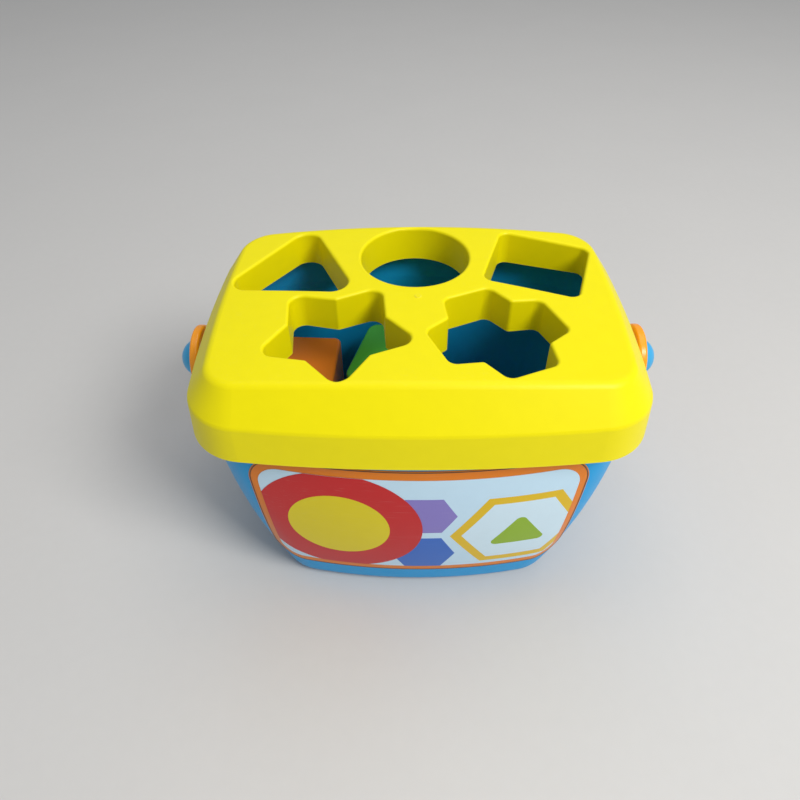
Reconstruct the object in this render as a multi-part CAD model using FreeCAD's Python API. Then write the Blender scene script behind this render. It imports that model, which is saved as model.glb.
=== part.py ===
"""Shape sorter: a bucket with a pop-on sorting lid, a swinging bail handle and ten blocks.

Frame: millimetres, +X right, +Y to the back, +Z up.  The origin is at the bottom centre of the
bucket, on the surface that it stands on.  The labelled front of the bucket faces -Y.
"""
import FreeCAD, Part
import math
import os

# ---------------------------------------------------------------- driving dimensions
LID_TOP = 132.0             # height of the lid's top at its middle
LID_CREASE = 116.0          # height where the sloping top meets the upright band
LID_BOTTOM = 99.5           # lower edge of the lid's band
LID_HALF_WIDTH = 80.0       # of the top panel, at the middle of each side
LID_HALF_DEPTH = 55.1
LID_CORNER = 12.4           # plan radius of the top panel's corners
LID_SLOPE_OUT = 11.5        # how far the sloping face runs out, down to the crease
LID_FLARE = 1.2             # draft of the band
LID_CROWN = 3.0             # how much lower the top is at its left and right ends
LID_WALL = 2.2
BOW_FRONT = 600.0           # plan radius of the bowed front and back
BOW_SIDE = 550.0            # plan radius of the bowed left and right sides

COLLAR_DEPTH = 16.7         # sorting collars hang this far below the top
COLLAR_WALL = 1.8
RIM_ROUND = 1.2             # rounding of the holes' upper edges
LID_TOP_ROUND = 4.0
LID_CREASE_ROUND = 3.0
CUTTER_REACH = 400.0        # longer than anything that it cuts
GATE_RADIUS = 1.3           # moulding gate mark on the top panel
GATE_HEIGHT = 0.25
GATE_Y = -1.9

BUCKET_WALL = 2.2
BUCKET_FLOOR = 2.4
BUCKET_RIM = 115.2          # height of the bucket's upper edge, inside the lid
BUCKET_BULGE = 4.0          # how far the tapered wall bellies out at half height
WALL_STEPS = 6              # sections that the wall is drawn through
BASE_HALF_WIDTH = 67.5
BASE_HALF_DEPTH = 56.0
BASE_CORNER = 20.0
BASE_EDGE = 7.0             # rounding between the wall and the base
SHOULDER_HALF_WIDTH = 88.8  # outside of the wall where it goes into the lid
SHOULDER_HALF_DEPTH = 63.9
SHOULDER_CORNER = 22.0
FOOT_INSET = 5.0            # moulded groove round the flat base: distance in from the flat's edge
FOOT_GROOVE = 2.0           # its width
FOOT_DEPTH = 0.8            # its depth
BUCKET_BOW_FRONT = 270.0    # plan radius of the wall's bowed front and back
BUCKET_BOW_SIDE = 275.0     # plan radius of its bowed left and right sides

PIVOT_HEIGHT = 94.0
PIVOT_BACK = 4.0             # the pivot axis lies this far behind the middle
BOSS_RADIUS = 5.0
BOSS_START = 60.0            # inside the bucket, where its hollow cuts the boss off
BOSS_END = 96.3              # half span over the two bosses
PIN_RADIUS = 3.2
PIN_LENGTH = 12.3           # of the shank, from under its head
PIN_HEAD_RADIUS = 9.0
PIN_HEAD_DOME = 7.4
HEAD_GAP = 0.1               # between the hub and the pin head
RUNNING_CLEARANCE = 0.08

HUB_RADIUS = 15.0
HUB_THICKNESS = 3.9
HUB_INNER = 96.6            # half span between the two hubs
ARM_LENGTH = 84.0           # pivot to the middle of the grip
ARM_WIDTH = 15.0
GRIP_THICKNESS = 8.0
GRIP_WIDTH = 22.0
GRIP_HALF_LENGTH = 40.0     # of the swelled middle of the grip
WAIST_END = 52.0            # distance from the pivot at which the arms start to widen
WAIST_ROUND = 18.0
WAIST_RISE = 14.0           # height over which an arm swells to the grip
GRIP_FLARE = 22.0
FLARE_ROUND = 30.0
HANDLE_CORNER = 26.0
HANDLE_EDGE = 1.2           # rounding of the handle's edges
HANDLE_REST_ANGLE = 29.5    # degrees that the handle hangs below level, at the back

LABEL_THICKNESS = 0.3
LABEL_HALF_WIDTH = 70.0     # at its top edge
LABEL_TAPER = 3.5           # how much narrower each side is at the bottom
LABEL_LOW = 16.5
LABEL_HIGH = 94.5
LABEL_CORNER = 14.0

BLOCK_HEIGHT = 31.0
BLOCK_CAP = 2.6             # thickness of the plate that closes a block
BLOCK_WALL = 1.8
BLOCK_EDGE = 1.6            # rounding of a block's outer edges
BLOCK_GAP = 0.3             # clear space between stacked blocks

# sorting shapes: middle of each opening, its turn, and its size
CIRCLE_AT, CIRCLE_RADIUS = (-1.0, 29.4), 24.0
TRIANGLE_AT, TRIANGLE_TURN, TRIANGLE_INNER = (-53.6, 22.4), 84.0, 17.4
SQUARE_AT, SQUARE_TURN, SQUARE_SIDE = (53.4, 25.2), -17.0, 41.0
STAR_AT, STAR_TURN, STAR_VALLEY, STAR_TIP = (-32.0, -23.2), 59.3, 20.3, 33.0
CROSS_AT, CROSS_TURN, CROSS_VALLEY, CROSS_ARM = (31.1, -23.4), 24.5, 20.2, 26.3
CROSS_END = 10.6            # half width of an arm at its end
BLOCK_CLEARANCE = 1.9       # all round, between a block and its opening


def vec(x, y, z=0.0):
    return FreeCAD.Vector(x, y, z)


# ---------------------------------------------------------------- plan outlines
def bowed_outline(z, half_width, half_depth, corner, front_radius, side_radius):
    """Closed wire of eight tangent arcs: four bowed sides and four corners."""
    front_centre = half_depth - front_radius
    side_centre = half_width - side_radius
    reach_front = front_radius - corner
    reach_side = side_radius - corner
    # the corner's centre is reach_front from (0, front_centre) and reach_side from (side_centre, 0)
    span = math.hypot(side_centre, front_centre)
    along = (reach_front ** 2 - reach_side ** 2 + span ** 2) / (2 * span)
    off = math.sqrt(reach_front ** 2 - along ** 2)
    ux = side_centre / span
    uy = -front_centre / span
    cx = ux * along + uy * off
    cy = front_centre + uy * along - ux * off
    front_dir = math.atan2(cy - front_centre, cx)
    side_dir = math.atan2(cy, cx - side_centre)
    mid_dir = (front_dir + side_dir) / 2
    front_end = (front_radius * math.cos(front_dir), front_centre + front_radius * math.sin(front_dir))
    side_end = (side_centre + side_radius * math.cos(side_dir), side_radius * math.sin(side_dir))
    corner_mid = (cx + corner * math.cos(mid_dir), cy + corner * math.sin(mid_dir))

    def place(point, sx, sy):
        return vec(sx * point[0], sy * point[1], z)

    quarters = ((1, 1), (-1, 1), (-1, -1), (1, -1))
    edges = []
    for index, (sx, sy) in enumerate(quarters):
        first, last = (side_end, front_end) if sx * sy > 0 else (front_end, side_end)
        edges.append(Part.Arc(place(first, sx, sy), place(corner_mid, sx, sy), place(last, sx, sy)).toShape())
        nx, ny = quarters[(index + 1) % 4]
        middle = vec(0, sy * half_depth, z) if sy == ny else vec(sx * half_width, 0, z)
        edges.append(Part.Arc(place(last, sx, sy), middle, place(last, nx, ny)).toShape())
    return Part.Wire(edges)


def rounded_polygon(corners):
    """Closed wire through (x, y, radius) corners, each corner rounded by a tangent arc."""
    count = len(corners)
    cuts = []
    for index in range(count):
        x, y, radius = corners[index]
        here = vec(x, y)
        back = vec(*corners[index - 1][:2]) - here
        ahead = vec(*corners[(index + 1) % count][:2]) - here
        back.normalize()
        ahead.normalize()
        half = back.getAngle(ahead) / 2
        trim = radius / math.tan(half)
        bisector = back + ahead
        bisector.normalize()
        centre = here + bisector * (radius / math.sin(half))
        cuts.append((here + back * trim, centre - bisector * radius, here + ahead * trim))
    edges = []
    for index in range(count):
        start, middle, end = cuts[index]
        edges.append(Part.Arc(start, middle, end).toShape())
        edges.append(Part.makeLine(end, cuts[(index + 1) % count][0]))
    return Part.Wire(edges)


def polar(radius, degrees):
    angle = math.radians(degrees)
    return radius * math.cos(angle), radius * math.sin(angle)


def circle_shape(inset):
    return Part.Wire(Part.makeCircle(CIRCLE_RADIUS - inset))


def triangle_shape(inset):
    inner = TRIANGLE_INNER - inset
    return rounded_polygon([(*polar(2 * inner, 120 * k), 7.0 - inset / 2) for k in range(3)])


def square_shape(inset):
    half = SQUARE_SIDE / 2 - inset
    return rounded_polygon([(*polar(half * math.sqrt(2), 45 + 90 * k), 4.5 - inset / 2) for k in range(4)])


def star_shape(inset):
    corners = []
    for k in range(5):
        corners.append((*polar(STAR_TIP - 1.25 * inset, 72 * k), 5.0 - inset / 2))
        corners.append((*polar(STAR_VALLEY - 1.1 * inset, 72 * k + 36), 1.5 + inset / 2))
    return rounded_polygon(corners)


def cross_shape(inset):
    corners = []
    arm = CROSS_ARM - inset
    end = CROSS_END - inset
    lead = math.degrees(math.atan2(end, arm))
    for k in range(4):
        corners.append((*polar(math.hypot(arm, end), 90 * k - lead), 4.0 - inset / 2))
        corners.append((*polar(math.hypot(arm, end), 90 * k + lead), 4.0 - inset / 2))
        corners.append((*polar(CROSS_VALLEY - 1.3 * inset, 90 * k + 45), 2.0 + inset / 2))
    return rounded_polygon(corners)


# shape name: (outline, middle of the opening, turn of the opening)
SHAPES = {
    "circle": (circle_shape, CIRCLE_AT, 0.0),
    "triangle": (triangle_shape, TRIANGLE_AT, TRIANGLE_TURN),
    "square": (square_shape, SQUARE_AT, SQUARE_TURN),
    "star": (star_shape, STAR_AT, STAR_TURN),
    "cross": (cross_shape, CROSS_AT, CROSS_TURN),
}


def prism(wire, bottom, top, at=(0.0, 0.0), turn=0.0):
    solid = Part.Face(wire).extrude(vec(0, 0, top - bottom))
    solid.rotate(vec(0, 0), vec(0, 0, 1), turn)
    solid.translate(vec(at[0], at[1], bottom))
    return solid


def edges_at_height(solid, height):
    found = []
    for edge in solid.Edges:
        box = edge.BoundBox
        if abs(box.ZMin - height) < 0.02 and abs(box.ZMax - height) < 0.02:
            found.append(edge)
    return found


# ---------------------------------------------------------------- lid
def lid_outline(z, out):
    return bowed_outline(z, LID_HALF_WIDTH + out, LID_HALF_DEPTH + out, LID_CORNER + out,
                         BOW_FRONT + out, BOW_SIDE + out)


def lid_block(inset, bottom):
    """Solid of the lid's outside, or of its inside when inset is the wall."""
    top = LID_TOP - inset
    crease = LID_CREASE - inset / 2
    band = Part.makeLoft([lid_outline(bottom, LID_SLOPE_OUT + LID_FLARE - inset),
                          lid_outline(crease, LID_SLOPE_OUT - inset)], True, True)
    slope = Part.makeLoft([lid_outline(crease, LID_SLOPE_OUT - inset),
                           lid_outline(top, -inset)], True, True)
    crown_radius = LID_HALF_WIDTH ** 2 / (2 * LID_CROWN)
    start = vec(0, -CUTTER_REACH / 2, top - crown_radius)
    crown = Part.makeCylinder(crown_radius, CUTTER_REACH, start, vec(0, 1, 0))
    return band.fuse(slope).common(crown).removeSplitter()


def crown_edges(solid):
    """The loop where the crowned top meets the sloping faces."""
    return [edge for edge in solid.Edges
            if edge.BoundBox.ZMin > LID_CREASE + 5 and edge.BoundBox.ZMax < LID_TOP + 0.5]


def rim_edges(lid):
    """The upper edges of the sorting holes."""
    rims = []
    for outline, at, turn in SHAPES.values():
        hole = prism(outline(0.0), LID_BOTTOM, LID_TOP + 1, at, turn)
        for edge in lid.Edges:
            middle = edge.valueAt((edge.FirstParameter + edge.LastParameter) / 2)
            high = edge.BoundBox.ZMin > LID_TOP - LID_CROWN - 1
            if high and hole.distToShape(Part.Vertex(middle))[0] < 0.001:
                rims.append(edge)
    return rims


def make_lid():
    outside = lid_block(0.0, LID_BOTTOM)
    outside = outside.makeFillet(LID_TOP_ROUND, crown_edges(outside))
    outside = outside.makeFillet(LID_CREASE_ROUND, edges_at_height(outside, LID_CREASE))
    lid = outside.cut(lid_block(LID_WALL, LID_BOTTOM - 1.0))
    low = LID_TOP - COLLAR_DEPTH
    for outline, at, turn in SHAPES.values():
        collar = prism(outline(-COLLAR_WALL), low, LID_TOP + 1, at, turn)
        lid = lid.fuse(collar.common(outside))
    for outline, at, turn in SHAPES.values():
        lid = lid.cut(prism(outline(0.0), low - 1, LID_TOP + 1, at, turn))
    lid = lid.makeFillet(RIM_ROUND, rim_edges(lid))
    gate = Part.makeCylinder(GATE_RADIUS, 1.0, vec(0, GATE_Y, LID_TOP - 1.0 + GATE_HEIGHT))
    return lid.fuse(gate)


# ---------------------------------------------------------------- bucket
def bucket_outline(z, out):
    """Outline of the wall at height z, grown by out."""
    rise = min(z / LID_BOTTOM, 1.0)
    bulge = BUCKET_BULGE * 4 * rise * (1 - rise)
    half_width = BASE_HALF_WIDTH + (SHOULDER_HALF_WIDTH - BASE_HALF_WIDTH) * rise + bulge + out
    half_depth = BASE_HALF_DEPTH + (SHOULDER_HALF_DEPTH - BASE_HALF_DEPTH) * rise + bulge + out
    corner = BASE_CORNER + (SHOULDER_CORNER - BASE_CORNER) * rise + bulge + out
    return bowed_outline(z, half_width, half_depth, corner, BUCKET_BOW_FRONT + out,
                         BUCKET_BOW_SIDE + out)


def bucket_block(out, bottom, top):
    heights = [bottom + (LID_BOTTOM - bottom) * step / WALL_STEPS for step in range(WALL_STEPS + 1)]
    wall = Part.makeLoft([bucket_outline(z, out) for z in heights], True, False)
    rim = Part.makeLoft([bucket_outline(LID_BOTTOM, out), bucket_outline(top, out)], True, True)
    rounded = wall.makeFillet(BASE_EDGE + out, edges_at_height(wall, bottom))
    return rounded.fuse(rim)


def make_bucket():
    bucket = bucket_block(0.0, 0.0, BUCKET_RIM)
    for side in (-1, 1):
        start = vec(side * BOSS_START, PIVOT_BACK, PIVOT_HEIGHT)
        boss = Part.makeCylinder(BOSS_RADIUS, BOSS_END - BOSS_START, start, vec(side, 0, 0))
        bucket = bucket.fuse(boss)
    inside = bucket_block(-BUCKET_WALL, BUCKET_FLOOR, BUCKET_RIM + 1)
    bucket = bucket.cut(inside)
    for side in (-1, 1):
        start = vec(side * pin_start(), PIVOT_BACK, PIVOT_HEIGHT)
        bore = Part.makeCylinder(PIN_RADIUS, PIN_LENGTH, start, vec(side, 0, 0))
        bucket = bucket.cut(bore)
    groove_edge = -BASE_EDGE - FOOT_INSET
    groove = prism(bucket_outline(0.0, groove_edge), 0, FOOT_DEPTH)
    groove = groove.cut(prism(bucket_outline(0.0, groove_edge - FOOT_GROOVE), 0, FOOT_DEPTH))
    return bucket.cut(groove).removeSplitter()


def make_label():
    """Printed label: a thin skin on the front wall."""
    skin = bucket_block(LABEL_THICKNESS, 0.0, BUCKET_RIM).cut(bucket_block(0.0, 0.0, BUCKET_RIM))
    half_low = LABEL_HALF_WIDTH - LABEL_TAPER
    corners = [(-half_low, LABEL_LOW, LABEL_CORNER), (half_low, LABEL_LOW, LABEL_CORNER),
               (LABEL_HALF_WIDTH, LABEL_HIGH, LABEL_CORNER), (-LABEL_HALF_WIDTH, LABEL_HIGH, LABEL_CORNER)]
    stamp = Part.Face(rounded_polygon(corners)).extrude(vec(0, 0, CUTTER_REACH / 2))
    stamp.rotate(vec(0, 0), vec(1, 0, 0), 90)
    return skin.common(stamp)


def pin_start():
    """Half span to the inner end of the pins' shanks."""
    return HUB_INNER + HUB_THICKNESS - PIN_LENGTH


def make_pin(side):
    start = vec(side * pin_start(), PIVOT_BACK, PIVOT_HEIGHT)
    shank = Part.makeCylinder(PIN_RADIUS, PIN_LENGTH, start, vec(side, 0, 0))
    dome_radius = (PIN_HEAD_RADIUS ** 2 + PIN_HEAD_DOME ** 2) / (2 * PIN_HEAD_DOME)
    face = HUB_INNER + HUB_THICKNESS + HEAD_GAP
    centre = side * (face + PIN_HEAD_DOME - dome_radius)
    ball = Part.makeSphere(dome_radius, vec(centre, PIVOT_BACK, PIVOT_HEIGHT))
    seat = vec(side * face, PIVOT_BACK, PIVOT_HEIGHT)
    keep = Part.makeCylinder(PIN_HEAD_RADIUS, PIN_HEAD_DOME + 1, seat, vec(side, 0, 0))
    neck_start = vec(side * (face - HEAD_GAP), PIVOT_BACK, PIVOT_HEIGHT)
    neck = Part.makeCylinder(PIN_RADIUS, 2 * HEAD_GAP, neck_start, vec(side, 0, 0))
    return shank.fuse([neck, ball.common(keep)]).removeSplitter()


# ---------------------------------------------------------------- handle
def bail_line(half_span, height, corner):
    """Edges of an upright U, open at the bottom, drawn from left to right in the XZ plane."""
    cut = corner * (1 - math.sqrt(0.5))
    left = [vec(-half_span, 0, height - corner), vec(-half_span + cut, 0, height - cut),
            vec(-half_span + corner, 0, height)]
    right = [vec(-point.x, 0, point.z) for point in reversed(left)]
    return [Part.makeLine(vec(-half_span, 0, 0), left[0]), Part.Arc(*left).toShape(),
            Part.makeLine(left[2], right[0]), Part.Arc(*right).toShape(),
            Part.makeLine(right[2], vec(half_span, 0, 0))]


def make_handle():
    """Bail with round hubs, waisted arms and a swelled grip.

    It is the common part of its front, side and top views, modelled upright about the pivot
    axis and then laid back to its rest angle.
    """
    outer = HUB_INNER + HUB_THICKNESS
    top = ARM_LENGTH + GRIP_THICKNESS / 2
    front_view = bail_line(outer, top, HANDLE_CORNER)
    front_view += bail_line(HUB_INNER, top - GRIP_THICKNESS, HANDLE_CORNER - HUB_THICKNESS)
    for side in (-1, 1):
        front_view.append(Part.makeLine(vec(side * HUB_INNER, 0, 0), vec(side * outer, 0, 0)))
    strip = Part.Face(Part.Wire(Part.__sortEdges__(front_view))).extrude(vec(0, 2 * HUB_RADIUS, 0))
    strip.translate(vec(0, -HUB_RADIUS, 0))

    half_arm = ARM_WIDTH / 2
    half_grip = GRIP_WIDTH / 2
    side_half = [(half_arm, 0, 0.1), (half_arm, WAIST_END, WAIST_ROUND),
                 (half_grip, WAIST_END + WAIST_RISE, WAIST_ROUND), (half_grip, top + HUB_THICKNESS, 1)]
    side_view = rounded_polygon(side_half + [(-x, z, radius) for x, z, radius in reversed(side_half)])
    side_view.rotate(vec(0, 0), vec(1, 0, 0), 90)
    side_view.rotate(vec(0, 0), vec(0, 0, 1), 90)
    side_solid = Part.Face(side_view).extrude(vec(2 * outer + 2, 0, 0))
    side_solid.translate(vec(-outer - 1, 0, 0))

    flare_end = GRIP_HALF_LENGTH + GRIP_FLARE
    back_half = [(outer + 1, half_arm, 1), (flare_end, half_arm, FLARE_ROUND),
                 (GRIP_HALF_LENGTH, half_grip, FLARE_ROUND), (-GRIP_HALF_LENGTH, half_grip, FLARE_ROUND),
                 (-flare_end, half_arm, FLARE_ROUND), (-outer - 1, half_arm, 1)]
    top_view = rounded_polygon(back_half + [(x, -y, radius) for x, y, radius in reversed(back_half)])
    bail = strip.common(side_solid).common(prism(top_view, -1, top + 1))

    for side in (-1, 1):
        start = vec(side * HUB_INNER, 0, 0)
        bail = bail.fuse(Part.makeCylinder(HUB_RADIUS, HUB_THICKNESS, start, vec(side, 0, 0)))
    bail = bail.removeSplitter()
    bail = bail.makeFillet(HANDLE_EDGE, [edge for edge in bail.Edges if edge.Length > HANDLE_EDGE])
    for side in (-1, 1):
        start = vec(side * (HUB_INNER - HUB_THICKNESS), 0, 0)
        bore = Part.makeCylinder(PIN_RADIUS + RUNNING_CLEARANCE, 3 * HUB_THICKNESS, start, vec(side, 0, 0))
        bail = bail.cut(bore)
    bail.rotate(vec(0, 0), vec(1, 0, 0), -(90 + HANDLE_REST_ANGLE))
    bail.translate(vec(0, PIVOT_BACK, PIVOT_HEIGHT))
    return bail


# ---------------------------------------------------------------- blocks
def make_block(outline):
    """Hollow block standing on z = 0: an open shell, and the plate that closes it."""
    body = prism(outline(BLOCK_CLEARANCE), 0, BLOCK_HEIGHT)
    body = body.makeFillet(BLOCK_EDGE, edges_at_height(body, 0) + edges_at_height(body, BLOCK_HEIGHT))
    cavity = prism(outline(BLOCK_CLEARANCE + BLOCK_WALL), BLOCK_CAP, BLOCK_HEIGHT - BLOCK_WALL)
    parting = Part.makeBox(200, 200, BLOCK_CAP, vec(-100, -100, 0))
    shell = body.cut(parting).cut(cavity)
    rib = prism(outline(BLOCK_CLEARANCE + BLOCK_WALL), BLOCK_CAP, BLOCK_CAP + 2.5)
    rib = rib.cut(prism(outline(BLOCK_CLEARANCE + BLOCK_WALL + 1.2), BLOCK_CAP, BLOCK_CAP + 2.5))
    cap = body.common(parting).fuse(rib)
    return shell, cap


FLOOR = BUCKET_FLOOR
SECOND = FLOOR + BLOCK_HEIGHT + BLOCK_GAP
WHEEL = CIRCLE_RADIUS - BLOCK_CLEARANCE      # radius of a circle block, standing on its edge
ON_WHEELS = FLOOR + 2 * WHEEL + 2 * BLOCK_GAP

# block name: (shape, x, y, z of its lower face, turn about Z, stands on edge)
BLOCKS = {
    "square_block_1": ("square", -58.0, 20.5, ON_WHEELS, -3.0, False),
    "triangle_block_1": ("triangle", -14.7, 25.3, ON_WHEELS, 104.8, False),
    "circle_block_1": ("circle", -44.5, 25.0, FLOOR + BLOCK_GAP, 0.0, True),
    "circle_block_2": ("circle", -11.5, 25.0, FLOOR + BLOCK_GAP, 0.0, True),
    "star_block_1": ("star", -34.3, -24.7, FLOOR, 90.0, False),
    "star_block_2": ("star", -37.4, -24.5, SECOND, 54.0, False),
    "cross_block_1": ("cross", 33.5, -24.8, FLOOR, 0.0, False),
    "cross_block_2": ("cross", 34.3, 24.5, FLOOR, 0.0, False),
    "square_block_2": ("square", 10.9, -32.6, SECOND, 0.0, False),
    "triangle_block_2": ("triangle", 45.4, -24.6, SECOND, 0.0, False),
}


def place_block(solid, x, y, z, turn, on_edge):
    if on_edge:
        solid.rotate(vec(0, 0), vec(0, 1, 0), 90)
        solid.translate(vec(-BLOCK_HEIGHT / 2, 0, WHEEL))
    solid.rotate(vec(0, 0), vec(0, 0, 1), turn)
    solid.translate(vec(x, y, z))
    return solid


def main():
    os.makedirs("parts", exist_ok=True)
    nodes = {
        "bucket": make_bucket(),
        "lid": make_lid(),
        "handle": make_handle(),
        "front_label": make_label(),
        "pivot_pin_left": make_pin(-1),
        "pivot_pin_right": make_pin(1),
    }
    for name, (shape, *place) in BLOCKS.items():
        shell, cap = make_block(SHAPES[shape][0])
        nodes[name + "_shell"] = place_block(shell, *place)
        nodes[name + "_cap"] = place_block(cap, *place)
    for name, shape in nodes.items():
        shape.exportStep(f"parts/{name}.step")
        print(name, shape.ShapeType, len(shape.Solids), shape.isValid(), round(shape.Volume))


main()
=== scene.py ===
"""Looks of a bucket shape sorter: its mouldings, its printed label and the light that it stands in."""

import logging
import math
from dataclasses import dataclass
from enum import Enum

import bpy
from mathutils import Matrix, Vector


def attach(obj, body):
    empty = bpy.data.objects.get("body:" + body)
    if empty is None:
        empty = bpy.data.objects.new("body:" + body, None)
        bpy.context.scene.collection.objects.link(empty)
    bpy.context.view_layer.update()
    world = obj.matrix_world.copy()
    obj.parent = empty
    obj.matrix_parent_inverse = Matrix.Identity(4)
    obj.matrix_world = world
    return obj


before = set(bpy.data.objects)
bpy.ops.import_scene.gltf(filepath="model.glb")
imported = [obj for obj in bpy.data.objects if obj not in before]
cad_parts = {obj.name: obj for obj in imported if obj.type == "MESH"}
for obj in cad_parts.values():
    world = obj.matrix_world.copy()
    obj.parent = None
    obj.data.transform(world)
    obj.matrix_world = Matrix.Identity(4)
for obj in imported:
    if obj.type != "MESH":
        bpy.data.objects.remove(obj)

LOG = logging.getLogger("shape_sorter")
MM = 0.001
CORNER_GAP = 0.01               # corners nearer to each other than this in mm are one
ROUND_SIDES = 72                # sides of a printed disc
DRAPE_START = -0.12             # where a print starts before it is pressed on the wall
DRAPE_CELL = 0.003              # spacing of the cuts that let a print follow the wall
SMOOTH_ANGLE = math.radians(32)

Point = tuple[float, float]
Outline = list[Point]
Colour = tuple[float, float, float]


def linear(red: int, green: int, blue: int) -> Colour:
    """Turn a colour on the 0 to 255 scale into linear light.

    Args:
        red: Red on the 0 to 255 scale.
        green: Green on that scale.
        blue: Blue on that scale.

    Returns:
        The three linear values, each from 0 to 1.
    """
    return tuple(((v / 255 + 0.055) / 1.055) ** 2.4 if v > 10 else v / 255 / 12.92
                 for v in (red, green, blue))


class Ink(Enum):
    """Printing inks of the label, in linear light."""

    SKY = linear(196, 226, 245)
    ICE = linear(208, 232, 245)
    ORANGE = linear(226, 124, 8)
    # painted shadow: a dark line for the shade that the film's edge throws, not an ink of the print
    OUTLINE = linear(70, 60, 50)
    RED = linear(196, 22, 26)
    YELLOW = linear(224, 206, 0)
    LILAC = linear(134, 122, 196)
    BLUE = linear(44, 104, 196)
    GOLD = linear(224, 186, 0)
    GREEN = linear(140, 178, 26)


# ---------------------------------------------------------------- shared shader effects
class Effect:
    """Shader node groups that several finishes share, each built once."""

    made: dict[str, bpy.types.NodeTree] = {}

    @classmethod
    def start(cls, name: str, inputs: list[tuple[str, str, float]], output: tuple[str, str]
              ) -> bpy.types.NodeTree:
        """Begin a node group with its sockets.

        Args:
            name: Name of the group.
            inputs: Socket name, kind and default of each input.
            output: Socket name and kind of the output.

        Returns:
            The new node tree, with its input and output nodes placed.
        """
        tree = bpy.data.node_groups.new(name, "ShaderNodeTree")
        for label, kind, default in inputs:
            socket = tree.interface.new_socket(label, in_out="INPUT", socket_type=f"NodeSocket{kind}")
            if kind == "Float":
                socket.default_value = default
        tree.interface.new_socket(output[0], in_out="OUTPUT", socket_type=f"NodeSocket{output[1]}")
        tree.nodes.new("NodeGroupInput")
        tree.nodes.new("NodeGroupOutput")
        cls.made[name] = tree
        return tree

    @staticmethod
    def ends(tree: bpy.types.NodeTree) -> tuple[bpy.types.Node, bpy.types.Node]:
        """Return the group's input and output nodes."""
        return tree.nodes["Group Input"], tree.nodes["Group Output"]

    @staticmethod
    def noise(tree: bpy.types.NodeTree, vector: bpy.types.NodeSocket, scale: float,
              detail: float) -> bpy.types.Node:
        """Add a noise texture.

        Args:
            tree: The tree that gets it.
            vector: Where it is read.
            scale: Cells to a metre.
            detail: Number of finer layers.

        Returns:
            The noise node.
        """
        node = tree.nodes.new("ShaderNodeTexNoise")
        node.inputs["Scale"].default_value = scale
        node.inputs["Detail"].default_value = detail
        tree.links.new(vector, node.inputs["Vector"])
        return node

    @staticmethod
    def ramp(tree: bpy.types.NodeTree, value: bpy.types.NodeSocket, span: tuple[float, float],
             to: tuple[float, float]) -> bpy.types.NodeSocket:
        """Map one span of values to another, held at its ends.

        Args:
            tree: The tree that gets the node.
            value: The value to map.
            span: The values mapped from.
            to: The values mapped to.

        Returns:
            The mapped value's socket.
        """
        node = tree.nodes.new("ShaderNodeMapRange")
        node.inputs["From Min"].default_value, node.inputs["From Max"].default_value = span
        node.inputs["To Min"].default_value, node.inputs["To Max"].default_value = to
        tree.links.new(value, node.inputs["Value"])
        return node.outputs["Result"]

    @staticmethod
    def sum(tree: bpy.types.NodeTree, operation: str, first: bpy.types.NodeSocket,
            second: bpy.types.NodeSocket | float) -> bpy.types.NodeSocket:
        """Join two values by one sum.

        Args:
            tree: The tree that gets the node.
            operation: Name of the sum, such as MULTIPLY.
            first: The first value.
            second: The second value, a socket or a number.

        Returns:
            The result's socket.
        """
        node = tree.nodes.new("ShaderNodeMath")
        node.operation = operation
        tree.links.new(first, node.inputs[0])
        if isinstance(second, (int, float)):
            node.inputs[1].default_value = second
        else:
            tree.links.new(second, node.inputs[1])
        return node.outputs[0]

    @classmethod
    def tone(cls) -> bpy.types.NodeTree:
        """Return the group that varies a colour as a moulding's pigment does."""
        if "pigment_tone" in cls.made:
            return cls.made["pigment_tone"]
        tree = cls.start("pigment_tone", [("Vector", "Vector", 0), ("Color", "Color", 0),
                                          ("Amount", "Float", 0.04)], ("Color", "Color"))
        start, end = cls.ends(tree)
        broad = cls.noise(tree, start.outputs["Vector"], 14.0, 2.0)
        close = cls.noise(tree, start.outputs["Vector"], 160.0, 3.0)
        both = cls.sum(tree, "ADD", broad.outputs["Fac"], close.outputs["Fac"])
        centred = cls.sum(tree, "SUBTRACT", both, 1.0)
        scaled = cls.sum(tree, "MULTIPLY", centred, start.outputs["Amount"])
        value = cls.sum(tree, "ADD", scaled, 1.0)
        shade = tree.nodes.new("ShaderNodeHueSaturation")
        tree.links.new(value, shade.inputs["Value"])
        tree.links.new(start.outputs["Color"], shade.inputs["Color"])
        tree.links.new(shade.outputs["Color"], end.inputs["Color"])
        return tree

    @classmethod
    def edge(cls) -> bpy.types.NodeTree:
        """Return the group that marks worn edges."""
        if "worn_edge" in cls.made:
            return cls.made["worn_edge"]
        tree = cls.start("worn_edge", [("Vector", "Vector", 0), ("Radius", "Float", 0.0008)],
                         ("Mask", "Float"))
        start, end = cls.ends(tree)
        bevel = tree.nodes.new("ShaderNodeBevel")
        bevel.samples = 6
        tree.links.new(start.outputs["Radius"], bevel.inputs["Radius"])
        true_normal = tree.nodes.new("ShaderNodeNewGeometry")
        dot = tree.nodes.new("ShaderNodeVectorMath")
        dot.operation = "DOT_PRODUCT"
        tree.links.new(bevel.outputs["Normal"], dot.inputs[0])
        tree.links.new(true_normal.outputs["Normal"], dot.inputs[1])
        turned = cls.ramp(tree, dot.outputs["Value"], (0.995, 0.86), (0.0, 1.0))
        patchy = cls.noise(tree, start.outputs["Vector"], 90.0, 4.0)
        rubbed = cls.ramp(tree, patchy.outputs["Fac"], (0.36, 0.62), (0.25, 1.0))
        tree.links.new(cls.sum(tree, "MULTIPLY", turned, rubbed), end.inputs["Mask"])
        return tree

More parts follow.
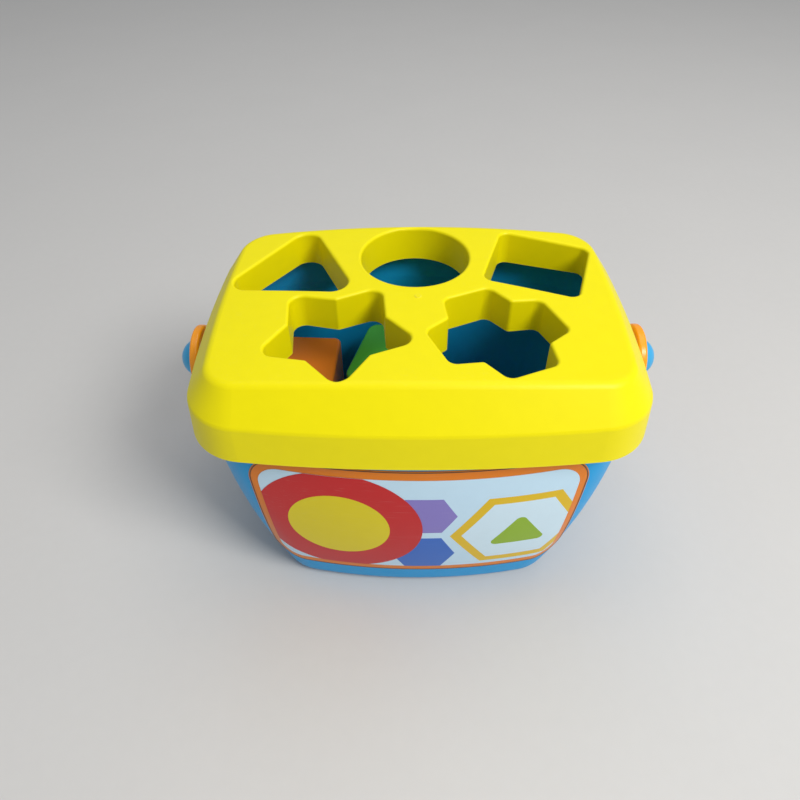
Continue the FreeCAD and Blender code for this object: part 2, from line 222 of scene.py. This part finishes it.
    @classmethod
    def scuff(cls) -> bpy.types.NodeTree:
        """Return the group that marks fine scratches in two directions."""
        if "fine_scuffs" in cls.made:
            return cls.made["fine_scuffs"]
        tree = cls.start("fine_scuffs", [("Vector", "Vector", 0)], ("Mask", "Float"))
        start, end = cls.ends(tree)
        total = None
        for turn, stretch in ((0.5, 46.0), (-0.9, 60.0)):
            mapping = tree.nodes.new("ShaderNodeMapping")
            mapping.inputs["Rotation"].default_value = (0.3, turn, turn)
            mapping.inputs["Scale"].default_value = (1.0, stretch, stretch)
            tree.links.new(start.outputs["Vector"], mapping.inputs["Vector"])
            lines = cls.noise(tree, mapping.outputs["Vector"], 26.0, 5.0)
            mask = cls.ramp(tree, lines.outputs["Fac"], (0.62, 0.72), (0.0, 1.0))
            total = mask if total is None else cls.sum(tree, "MAXIMUM", total, mask)
        tree.links.new(total, end.inputs["Mask"])
        return tree

    @classmethod
    def dust(cls) -> bpy.types.NodeTree:
        """Return the group that marks dust on what faces up."""
        if "settled_dust" in cls.made:
            return cls.made["settled_dust"]
        tree = cls.start("settled_dust", [("Vector", "Vector", 0)], ("Mask", "Float"))
        start, end = cls.ends(tree)
        shape = tree.nodes.new("ShaderNodeNewGeometry")
        parts = tree.nodes.new("ShaderNodeSeparateXYZ")
        tree.links.new(shape.outputs["Normal"], parts.inputs["Vector"])
        upward = cls.ramp(tree, parts.outputs["Z"], (0.55, 1.0), (0.0, 1.0))
        specks = cls.noise(tree, start.outputs["Vector"], 900.0, 2.0)
        fine = cls.ramp(tree, specks.outputs["Fac"], (0.58, 0.76), (0.0, 1.0))
        drifts = cls.noise(tree, start.outputs["Vector"], 22.0, 3.0)
        uneven = cls.ramp(tree, drifts.outputs["Fac"], (0.4, 0.7), (0.2, 1.0))
        spread = cls.sum(tree, "MULTIPLY", fine, uneven)
        tree.links.new(cls.sum(tree, "MULTIPLY", spread, upward), end.inputs["Mask"])
        return tree

    @classmethod
    def grain(cls) -> bpy.types.NodeTree:
        """Return the group that gives the height of a spark-eroded mould's grain."""
        if "mould_grain" in cls.made:
            return cls.made["mould_grain"]
        tree = cls.start("mould_grain", [("Vector", "Vector", 0), ("Ripple", "Float", 0.5)],
                         ("Height", "Float"))
        start, end = cls.ends(tree)
        fine = cls.noise(tree, start.outputs["Vector"], 2600.0, 2.0)
        ripple = cls.noise(tree, start.outputs["Vector"], 55.0, 1.0)
        weighted = cls.sum(tree, "MULTIPLY", ripple.outputs["Fac"], start.outputs["Ripple"])
        tree.links.new(cls.sum(tree, "ADD", fine.outputs["Fac"], weighted), end.inputs["Height"])
        return tree

    @staticmethod
    def place(tree: bpy.types.NodeTree, group: bpy.types.NodeTree, vector: bpy.types.NodeSocket
              ) -> bpy.types.Node:
        """Put a group in a material.

        Args:
            tree: The material's tree.
            group: The group's tree.
            vector: Where its patterns are read.

        Returns:
            The group's node.
        """
        node = tree.nodes.new("ShaderNodeGroup")
        node.node_tree = group
        tree.links.new(vector, node.inputs["Vector"])
        return node


# ---------------------------------------------------------------- finishes
@dataclass(frozen=True)
class Plastic:
    """Finish of an injection-moulded polypropylene piece."""

    name: str
    colour: Colour
    roughness: float = 0.38
    gloss: float = 0.22
    tone: float = 0.05
    wear: float = 0.2
    grain: float = 0.00003
    ripple: float = 1.2

    def make(self) -> bpy.types.Material:
        """Build the material, or return it if it is built.

        Returns:
            The material.
        """
        if self.name in bpy.data.materials:
            return bpy.data.materials[self.name]
        material = bpy.data.materials.new(self.name)
        material.use_nodes = True
        tree = material.node_tree
        shader = tree.nodes["Principled BSDF"]
        shader.inputs["IOR"].default_value = 1.49
        shader.inputs["Specular IOR Level"].default_value = self.gloss
        place = tree.nodes.new("ShaderNodeTexCoord").outputs["Object"]
        tone = Effect.place(tree, Effect.tone(), place)
        tone.inputs["Color"].default_value = (*self.colour, 1.0)
        tone.inputs["Amount"].default_value = self.tone
        edge = Effect.place(tree, Effect.edge(), place)
        scuff = Effect.place(tree, Effect.scuff(), place)
        dust = Effect.place(tree, Effect.dust(), place)
        grain = Effect.place(tree, Effect.grain(), place)
        grain.inputs["Ripple"].default_value = self.ripple
        pale = tuple(c + (1.0 - c) * 0.35 for c in self.colour)
        worn = mix_colour(tree, tone.outputs["Color"], pale,
                          Effect.sum(tree, "MULTIPLY", edge.outputs["Mask"], self.wear))
        dusty = mix_colour(tree, worn, (0.62, 0.60, 0.56),
                           Effect.sum(tree, "MULTIPLY", dust.outputs["Mask"], 0.05))
        tree.links.new(dusty, shader.inputs["Base Color"])
        scuffed = Effect.sum(tree, "MULTIPLY", scuff.outputs["Mask"], 0.10)
        dull = Effect.sum(tree, "MULTIPLY", dust.outputs["Mask"], 0.25)
        rough = Effect.sum(tree, "ADD", Effect.sum(tree, "ADD", scuffed, dull), self.roughness)
        tree.links.new(rough, shader.inputs["Roughness"])
        bump = tree.nodes.new("ShaderNodeBump")
        bump.inputs["Distance"].default_value = self.grain
        bump.inputs["Strength"].default_value = 0.6
        tree.links.new(grain.outputs["Height"], bump.inputs["Height"])
        tree.links.new(bump.outputs["Normal"], shader.inputs["Normal"])
        return material


@dataclass(frozen=True)
class PrintedFilm:
    """Finish of one ink on the label's glossy film."""

    ink: Ink
    roughness: float = 0.30

    def make(self) -> bpy.types.Material:
        """Build the material, or return it if it is built.

        Returns:
            The material.
        """
        name = f"film_{self.ink.name.lower()}"
        if name in bpy.data.materials:
            return bpy.data.materials[name]
        material = bpy.data.materials.new(name)
        material.use_nodes = True
        tree = material.node_tree
        shader = tree.nodes["Principled BSDF"]
        shader.inputs["IOR"].default_value = 1.5
        shader.inputs["Specular IOR Level"].default_value = 0.3
        shader.inputs["Coat Weight"].default_value = 0.08
        shader.inputs["Coat Roughness"].default_value = 0.16
        place = tree.nodes.new("ShaderNodeTexCoord").outputs["Object"]
        tone = Effect.place(tree, Effect.tone(), place)
        tone.inputs["Color"].default_value = (*self.ink.value, 1.0)
        tone.inputs["Amount"].default_value = 0.05
        scuff = Effect.place(tree, Effect.scuff(), place)
        faded = mix_colour(tree, tone.outputs["Color"], (0.75, 0.74, 0.70),
                           Effect.sum(tree, "MULTIPLY", scuff.outputs["Mask"], 0.05))
        tree.links.new(faded, shader.inputs["Base Color"])
        rubbed = Effect.sum(tree, "MULTIPLY", scuff.outputs["Mask"], 0.16)
        tree.links.new(Effect.sum(tree, "ADD", rubbed, self.roughness), shader.inputs["Roughness"])
        grain = Effect.place(tree, Effect.grain(), place)
        grain.inputs["Ripple"].default_value = 2.5
        bump = tree.nodes.new("ShaderNodeBump")
        bump.inputs["Distance"].default_value = 0.00001
        bump.inputs["Strength"].default_value = 0.5
        tree.links.new(grain.outputs["Height"], bump.inputs["Height"])
        tree.links.new(bump.outputs["Normal"], shader.inputs["Normal"])
        return material


def mix_colour(tree: bpy.types.NodeTree, base: bpy.types.NodeSocket, over: Colour,
               share: bpy.types.NodeSocket) -> bpy.types.NodeSocket:
    """Lay one plain colour over another by a mask.

    Args:
        tree: The material's tree.
        base: The colour below.
        over: The colour above.
        share: How much of it shows.

    Returns:
        The mixed colour's socket.
    """
    node = tree.nodes.new("ShaderNodeMix")
    node.data_type = "RGBA"
    tree.links.new(share, node.inputs[0])
    tree.links.new(base, node.inputs[6])
    node.inputs[7].default_value = (*over, 1.0)
    return node.outputs[2]


BUCKET_BLUE = Plastic("bucket_sky_blue", linear(22, 158, 222), roughness=0.36)
LID_YELLOW = Plastic("lid_bright_yellow", linear(240, 226, 0), roughness=0.42)
HANDLE_ORANGE = Plastic("handle_orange", linear(255, 140, 10), roughness=0.36)
PIN_BLUE = Plastic("pin_sky_blue", linear(64, 168, 222), roughness=0.34)
BLOCK_FINISHES = {
    "square": Plastic("block_orange", linear(246, 132, 14)),
    "triangle": Plastic("block_green", linear(96, 168, 22)),
    "circle": Plastic("block_red", linear(206, 34, 40)),
    "star": Plastic("block_blue", linear(34, 96, 190)),
    "cross": Plastic("block_purple", linear(122, 74, 164)),
}


# ---------------------------------------------------------------- bench tools
class Bench:
    """Modelling steps that every printed piece uses."""

    @staticmethod
    def clear() -> None:
        """Deselect every object."""
        bpy.ops.object.select_all(action="DESELECT")

    @staticmethod
    def hold(piece: bpy.types.Object) -> None:
        """Make a piece the only one selected, and the active one."""
        Bench.clear()
        piece.select_set(True)
        bpy.context.view_layer.objects.active = piece

    @staticmethod
    def blank(outline: Outline) -> bpy.types.Object:
        """Cut a flat blank, upright and facing the front.

        Args:
            outline: Its corners in mm, sideways and up.

        Returns:
            The blank.
        """
        Bench.clear()
        bpy.ops.mesh.primitive_circle_add(vertices=len(outline), radius=1.0, fill_type="NGON")
        piece = bpy.context.active_object
        for vertex, (x, z) in zip(piece.data.vertices, outline):
            vertex.co = (x * MM, DRAPE_START, z * MM)
        piece.data.update()
        if piece.data.polygons[0].normal.y > 0:
            bpy.ops.object.mode_set(mode="EDIT")
            bpy.ops.mesh.select_all(action="SELECT")
            bpy.ops.mesh.flip_normals()
            bpy.ops.object.mode_set(mode="OBJECT")
        return piece

    @staticmethod
    def join(blanks: list[bpy.types.Object], name: str) -> bpy.types.Object:
        """Join blanks to one piece and merge the corners that they share.

        Args:
            blanks: The blanks.
            name: The piece's name.

        Returns:
            The joined piece.
        """
        Bench.clear()
        for blank in blanks:
            blank.select_set(True)
        bpy.context.view_layer.objects.active = blanks[0]
        if len(blanks) > 1:
            bpy.ops.object.join()
        piece = bpy.context.active_object
        piece.name = name
        piece.data.name = name
        bpy.ops.object.mode_set(mode="EDIT")
        bpy.ops.mesh.select_all(action="SELECT")
        bpy.ops.mesh.remove_doubles(threshold=0.000001)
        bpy.ops.object.mode_set(mode="OBJECT")
        return piece

    @staticmethod
    def score(piece: bpy.types.Object) -> None:
        """Cut a flat piece by a square grid, so that it can bend.

        Args:
            piece: The piece, which is held.
        """
        across = [vertex.co.x for vertex in piece.data.vertices]
        upward = [vertex.co.z for vertex in piece.data.vertices]
        bpy.ops.object.mode_set(mode="EDIT")
        for values, normal in ((across, Vector((1, 0, 0))), (upward, Vector((0, 0, 1)))):
            first = math.floor(min(values) / DRAPE_CELL) + 1
            last = math.ceil(max(values) / DRAPE_CELL)
            for index in range(first, last):
                bpy.ops.mesh.select_all(action="SELECT")
                bpy.ops.mesh.bisect(plane_co=normal * (index * DRAPE_CELL), plane_no=normal)
        bpy.ops.object.mode_set(mode="OBJECT")

    @staticmethod
    def press(piece: bpy.types.Object, wall: bpy.types.Object, lift: float, thickness: float) -> None:
        """Press a flat piece on a wall and give it its thickness.

        Args:
            piece: The piece, which is held.
            wall: The wall that it lies on.
            lift: How far its face stands off the wall.
            thickness: The film's thickness.
        """
        wrap = piece.modifiers.new("press", "SHRINKWRAP")
        wrap.wrap_method = "PROJECT"
        wrap.use_project_y = True
        wrap.use_positive_direction = True
        wrap.use_negative_direction = False
        wrap.target = wall
        bpy.ops.object.modifier_apply(modifier=wrap.name)
        bpy.ops.object.mode_set(mode="EDIT")
        bpy.ops.mesh.select_all(action="SELECT")
        bpy.ops.transform.translate(value=(0.0, -lift, 0.0))
        bpy.ops.object.mode_set(mode="OBJECT")
        film = piece.modifiers.new("film", "SOLIDIFY")
        film.thickness = thickness
        film.offset = -1.0
        bpy.ops.object.modifier_apply(modifier=film.name)
        bpy.ops.object.shade_smooth_by_angle(angle=SMOOTH_ANGLE)


# ---------------------------------------------------------------- flat shapes
def ellipse(centre: Point, half_width: float, half_height: float) -> Outline:
    """Return the outline of an ellipse.

    Args:
        centre: Its centre in mm.
        half_width: Its half width in mm.
        half_height: Its half height in mm.

    Returns:
        Its corners.
    """
    corners = []
    for index in range(ROUND_SIDES):
        angle = 2 * math.pi * index / ROUND_SIDES
        x, z = half_width * math.cos(angle), half_height * math.sin(angle)
        corners.append((centre[0] + x, centre[1] + z))
    return corners


def hexagon(centre: Point, reach: float, half_height: float, flat: float) -> Outline:
    """Return a hexagon with a corner at its left and right.

    Args:
        centre: Its centre in mm.
        reach: How far its side corners reach.
        half_height: Its half height.
        flat: Half length of its flat top.

    Returns:
        Its corners.
    """
    x, z = centre
    return [(x + reach, z), (x + flat, z + half_height), (x - flat, z + half_height),
            (x - reach, z), (x - flat, z - half_height), (x + flat, z - half_height)]


def rounded(corners: Outline, radius: float, steps: int = 10) -> Outline:
    """Round the corners of a convex outline.

    Args:
        corners: The sharp corners in order.
        radius: Radius of the rounding in mm.
        steps: Number of short sides to a corner.

    Returns:
        The rounded outline.
    """
    result = []
    for index, corner in enumerate(corners):
        here = Vector(corner)
        back = (Vector(corners[index - 1]) - here).normalized()
        ahead = (Vector(corners[(index + 1) % len(corners)]) - here).normalized()
        half = back.angle(ahead) / 2
        trim = radius / math.tan(half)
        centre = here + (back + ahead).normalized() * (radius / math.sin(half))
        start, stop = here + back * trim - centre, here + ahead * trim - centre
        sweep = start.angle(stop)
        for step in range(steps + 1):
            share = step / steps
            spoke = (start * math.sin((1 - share) * sweep) + stop * math.sin(share * sweep)) / math.sin(sweep)
            result.append(tuple(centre + spoke))
    return result


def clipped(outline: Outline, window: Outline) -> Outline:
    """Cut an outline down to a convex window.

    Args:
        outline: The outline.
        window: The window's corners, anticlockwise.

    Returns:
        The part inside, which may be empty.
    """
    result = outline
    for index, (ax, az) in enumerate(window):
        bx, bz = window[(index + 1) % len(window)]

        def inside(point: Point) -> float:
            """Return how far a point is inside this side of the window."""
            return (bx - ax) * (point[1] - az) - (bz - az) * (point[0] - ax)

        kept = []
        for place, point in enumerate(result):
            previous = result[place - 1]
            here, before = inside(point), inside(previous)
            if (here >= 0) != (before >= 0):
                share = before / (before - here)
                kept.append((previous[0] + (point[0] - previous[0]) * share,
                             previous[1] + (point[1] - previous[1]) * share))
            if here >= 0:
                kept.append(point)
        result = kept
        if len(result) < 3:
            return []
    tidy = [point for place, point in enumerate(result)
            if math.dist(point, result[place - 1]) > CORNER_GAP]
    return tidy if len(tidy) > 2 else []


def line(path: Outline, width: float) -> list[Outline]:
    """Return the cells of a drawn line whose end joins its start.

    Args:
        path: Points along it.
        width: Its width in mm.

    Returns:
        One four-cornered cell for each stretch.
    """
    count = len(path)
    sides = []
    for index, point in enumerate(path):
        before = path[index - 1]
        after = path[(index + 1) % count]
        along = (Vector(after) - Vector(before)).normalized()
        stretch = (Vector(after) - Vector(point)).normalized() if after != point else along
        across = Vector((-along.y, along.x))
        mitre = max(0.35, abs(across.dot(Vector((-stretch.y, stretch.x)))))
        reach = across * (width / 2 / mitre)
        sides.append((tuple(Vector(point) + reach), tuple(Vector(point) - reach)))
    return [[sides[i][0], sides[i][1], sides[(i + 1) % count][1], sides[(i + 1) % count][0]]
            for i in range(count)]


# ---------------------------------------------------------------- the label
@dataclass
class Label:
    """Printed film on the bucket's front, with plain shapes: discs, hexagons and a triangle."""

    low: float = 16.5
    high: float = 94.5
    half_bottom: float = 66.5
    half_top: float = 70.0
    corner: float = 14.0
    frame_side: float = 3.8
    frame_top: float = 5.0
    frame_bottom: float = 4.6
    lift: float = 0.12
    level: float = 0.035
    film: float = 0.03
    disc: Point = (-34.0, 55.5)
    disc_radius: float = 36.0
    disc_inner: float = 22.0
    lilac: Point = (2.4, 65.7)
    blue: Point = (2.4, 34.5)
    ring: Point = (44.0, 50.3)
    # inset and width of the dark line that paints the shadow along the label's edge
    shadow_line_inset: float = 0.55
    shadow_line_width: float = 0.4

    def __post_init__(self) -> None:
        """Work out the printed window from the label's own outline."""
        side, top, bottom = self.frame_side, self.frame_top, self.frame_bottom
        self.window = rounded([(-self.half_bottom + side, self.low + bottom),
                               (self.half_bottom - side, self.low + bottom),
                               (self.half_top - side, self.high - top),
                               (-self.half_top + side, self.high - top)], self.corner - side)
        self.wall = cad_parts["front_label"]

    def lay(self, name: str, ink: Ink, level: int, shapes: list[Outline],
            windows: tuple[Outline, ...] = ()) -> None:
        """Print one ink in one or more shapes.

        Args:
            name: Name of the piece.
            ink: Its ink.
            level: How many films lie under it.
            shapes: The outlines to print.
            windows: Convex outlines that it is cut down to.
        """
        blanks = []
        for shape in shapes:
            for window in windows:
                shape = clipped(shape, window)
            if shape:
                blanks.append(Bench.blank(shape))
        piece = Bench.join(blanks, f"print_{name}")
        Bench.hold(piece)
        Bench.score(piece)
        Bench.press(piece, self.wall, (self.lift + level * self.level) * MM, self.film * MM)
        piece.data.materials.append(PrintedFilm(ink).make())
        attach(piece, "root")
        LOG.info("%s: %d faces", piece.name, len(piece.data.polygons))

    def ground(self) -> None:
        """Print the sky ground and a dark line round the label's edge: painted shadow of the film's edge."""
        inset = self.shadow_line_inset
        edge = rounded([(-self.half_bottom + inset, self.low + inset),
                        (self.half_bottom - inset, self.low + inset),
                        (self.half_top - inset, self.high - inset),
                        (-self.half_top + inset, self.high - inset)], self.corner - inset)
        # painted shadow: a dark ring along the label's edge
        self.lay("painted_shadow_line", Ink.OUTLINE, 0, line(edge, self.shadow_line_width))
        self.lay("sky", Ink.SKY, 0, [self.window])

    def hexagons(self) -> None:
        """Print the lilac and blue hexagons and the gold ring."""
        cut = (self.window,)
        self.lay("hexagon_lilac", Ink.LILAC, 1, [hexagon(self.lilac, 14.0, 12.1, 7.8)], cut)
        self.lay("hexagon_blue", Ink.BLUE, 1, [hexagon(self.blue, 14.3, 14.5, 7.8)], cut)
        self.lay("ring_gold", Ink.GOLD, 1, [hexagon(self.ring, 30.2, 26.2, 15.2)], cut)
        self.lay("ring_inside", Ink.ICE, 2, [hexagon(self.ring, 25.2, 21.9, 12.7)], cut)

    def discs(self) -> None:
        """Print the red disc and the yellow one on it."""
        cut = (self.window,)
        self.lay("disc_red", Ink.RED, 3, [ellipse(self.disc, self.disc_radius, self.disc_radius)], cut)
        self.lay("disc_yellow", Ink.YELLOW, 4, [ellipse(self.disc, self.disc_inner, self.disc_inner)], cut)

    def triangle(self) -> None:
        """Print the green triangle inside the ring."""
        x, z = self.ring
        half, below, above, corner = 13.5, 10.0, 13.0, 2.5
        sides = rounded([(x - half, z - below), (x + half, z - below), (x, z + above)], corner)
        self.lay("triangle_green", Ink.GREEN, 3, [sides], (self.window,))

    def build(self) -> None:
        """Dress the label's film and print everything on it."""
        self.wall.data.materials.clear()
        self.wall.data.materials.append(PrintedFilm(Ink.ORANGE).make())
        self.ground()
        self.hexagons()
        self.discs()
        self.triangle()


# ---------------------------------------------------------------- mouldings
@dataclass
class Mouldings:
    """The moulded pieces, which keep their CAD shape and get their finish."""

    blocks_of_a_kind: int = 2

    def dress(self, node: str, finish: Plastic) -> None:
        """Give one piece its finish.

        Args:
            node: The piece's name.
            finish: Its finish.
        """
        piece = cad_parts[node]
        piece.data.materials.clear()
        piece.data.materials.append(finish.make())
        LOG.info("%s: %s", node, finish.name)

    def build(self) -> None:
        """Dress the bucket, lid, handle, pins and blocks."""
        self.dress("bucket", BUCKET_BLUE)
        self.dress("lid", LID_YELLOW)
        self.dress("handle", HANDLE_ORANGE)
        self.dress("pivot_pin_left", PIN_BLUE)
        self.dress("pivot_pin_right", PIN_BLUE)
        for kind, finish in BLOCK_FINISHES.items():
            for number in range(1, self.blocks_of_a_kind + 1):
                for part in ("shell", "cap"):
                    self.dress(f"{kind}_block_{number}_{part}", finish)


# ---------------------------------------------------------------- room
@dataclass
class Studio:
    """The pale floor, the soft lights and the camera."""

    floor_size: float = 8.0
    camera_place: tuple[float, float, float] = (-0.0043, -0.2237, 0.2891)
    pitch: float = 44.39
    yaw: float = 0.955
    roll: float = 0.727
    lens: float = 29.25
    sensor: float = 36.0

    def lay_floor(self) -> None:
        """Lay a matt pale floor with a faint tooth."""
        Bench.clear()
        bpy.ops.mesh.primitive_plane_add(size=self.floor_size, location=(0.0, 0.0, 0.0))
        floor = bpy.context.active_object
        floor.name = "studio_floor"
        material = bpy.data.materials.new("studio_floor_paint")
        material.use_nodes = True
        tree = material.node_tree
        shader = tree.nodes["Principled BSDF"]
        shader.inputs["Roughness"].default_value = 0.7
        place = tree.nodes.new("ShaderNodeTexCoord").outputs["Object"]
        tone = Effect.place(tree, Effect.tone(), place)
        tone.inputs["Color"].default_value = (0.62, 0.605, 0.585, 1.0)
        tone.inputs["Amount"].default_value = 0.03
        tree.links.new(tone.outputs["Color"], shader.inputs["Base Color"])
        floor.data.materials.append(material)

    def light(self, name: str, place: tuple[float, float, float], size: float, power: float,
              tint: Colour) -> None:
        """Hang one square soft light, aimed at the lid.

        Args:
            name: The light's name.
            place: Where it hangs.
            size: Its side.
            power: Its power in watts.
            tint: Its colour.
        """
        Bench.clear()
        bpy.ops.object.light_add(type="AREA", location=place)
        lamp = bpy.context.active_object
        lamp.name = name
        lamp.data.shape = "SQUARE"
        lamp.data.size = size
        lamp.data.energy = power
        lamp.data.color = tint
        aim = Vector((0.0, 0.0, 0.09)) - Vector(place)
        lamp.rotation_euler = aim.to_track_quat("-Z", "Y").to_euler()

    def set_lights(self) -> None:
        """Hang the window light, the fill and the room's own glow."""
        self.light("key_right", (0.72, -0.62, 1.05), 0.5, 14.0, (1.0, 0.99, 0.97))
        self.light("fill_above", (0.1, 0.3, 1.5), 1.2, 6.0, (0.96, 0.98, 1.0))
        world = bpy.data.worlds.new("room_glow")
        bpy.context.scene.world = world
        world.use_nodes = True
        world.node_tree.nodes["Background"].inputs["Color"].default_value = (0.93, 0.96, 1.0, 1.0)
        world.node_tree.nodes["Background"].inputs["Strength"].default_value = 0.36

    def set_camera(self) -> None:
        """Set the camera above the front, looking down at the lid."""
        pitch, yaw, roll = (math.radians(a) for a in (self.pitch, self.yaw, self.roll))
        ahead = Vector((0.0, math.cos(pitch), -math.sin(pitch)))
        right = Vector((1.0, 0.0, 0.0))
        down = ahead.cross(right)
        turn = Matrix.Rotation(yaw, 3, "Z")
        ahead, right, down = turn @ ahead, turn @ right, turn @ down
        level_right = right * math.cos(roll) + down * math.sin(roll)
        level_down = down * math.cos(roll) - right * math.sin(roll)
        Bench.clear()
        bpy.ops.object.camera_add(location=self.camera_place)
        camera = bpy.context.active_object
        camera.name = "camera"
        axes = Matrix((level_right, -level_down, -ahead)).transposed().to_4x4()
        camera.matrix_world = Matrix.Translation(self.camera_place) @ axes
        camera.data.lens = self.lens
        camera.data.sensor_width = self.sensor
        camera.data.clip_start = 0.01
        bpy.context.scene.camera = camera

    def build(self) -> None:
        """Set up the floor, the lights, the camera and the picture's tones."""
        self.lay_floor()
        self.set_lights()
        self.set_camera()
        bpy.context.scene.view_settings.view_transform = "Standard"
        LOG.info("studio is set")


def corners(box: tuple[Vector, Vector]) -> list[list[float]]:
    """Return a box's two corners as plain numbers."""
    return [[float(value) for value in corner] for corner in box]


def main() -> None:
    """Dress the mouldings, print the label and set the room."""
    logging.basicConfig(level=logging.INFO, format="%(message)s")
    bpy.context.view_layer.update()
    for part in (Mouldings(), Label(), Studio()):
        part.build()
    bpy.context.view_layer.update()


if __name__ == "__main__":
    main()
